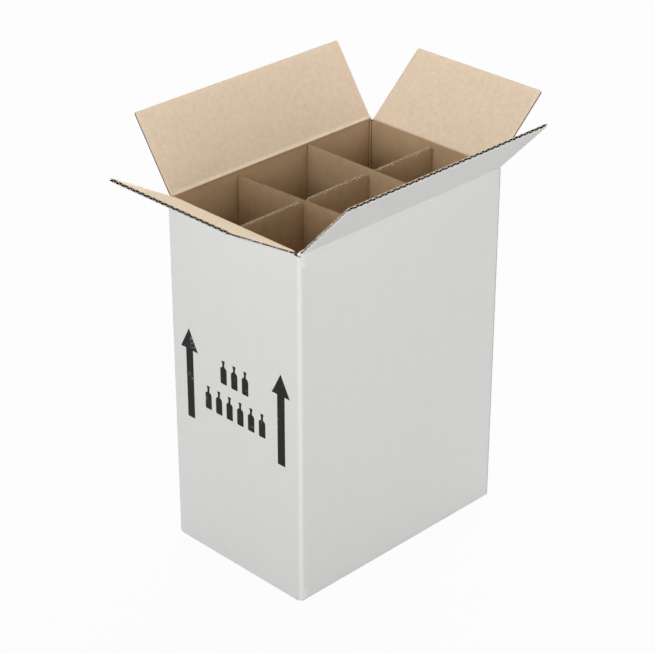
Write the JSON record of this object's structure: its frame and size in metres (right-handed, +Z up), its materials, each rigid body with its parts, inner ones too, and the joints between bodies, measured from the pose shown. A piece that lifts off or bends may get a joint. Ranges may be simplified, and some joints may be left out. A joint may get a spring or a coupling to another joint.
{
  "type": "bottle shipping box",
  "caption": "Open upright corrugated carton with folding top flaps and an interlocking slotted divider grid that keeps bottles apart.",
  "frame": {"origin": "middle of the footprint, on the underside of the closed bottom flaps", "axes": "+Z up; +X along the long walls, away from the end wall with the upright arrows; -Y is the plain long wall that shows"},
  "size_m": [0.3912, 0.2668, 0.4232],
  "materials": {
    "white_lined_board": "matt coated white outside, plain brown inside",
    "brown_board": "matt plain brown"
  },
  "bodies": {
    "carton": {"carton_body": "white_lined_board", "long_divider": "brown_board", "cross_divider_1": "brown_board", "cross_divider_2": "brown_board"},
    "long_flap_front": {"long_flap_front": "white_lined_board"},
    "long_flap_back": {"long_flap_back": "white_lined_board"},
    "end_flap_left": {"end_flap_left": "white_lined_board"},
    "end_flap_right": {"end_flap_right": "white_lined_board"}
  },
  "joints": [
    {"name": "long_flap_front_fold", "type": "hinge", "parent": "carton", "child": "long_flap_front", "pos_m": [0, -0.081, 0.356], "axis": [1, 0, 0], "range_deg": [-133, 87]},
    {"name": "long_flap_back_fold", "type": "hinge", "parent": "carton", "child": "long_flap_back", "pos_m": [0, 0.081, 0.356], "axis": [-1, 0, 0], "range_deg": [-124, 96]},
    {"name": "end_flap_left_fold", "type": "hinge", "parent": "carton", "child": "end_flap_left", "pos_m": [-0.1294, 0, 0.3545], "axis": [0, -1, 0], "range_deg": [-149.5, 70.5]},
    {"name": "end_flap_right_fold", "type": "hinge", "parent": "carton", "child": "end_flap_right", "pos_m": [0.1294, 0, 0.3545], "axis": [0, 1, 0], "range_deg": [-138, 82]}
  ]
}
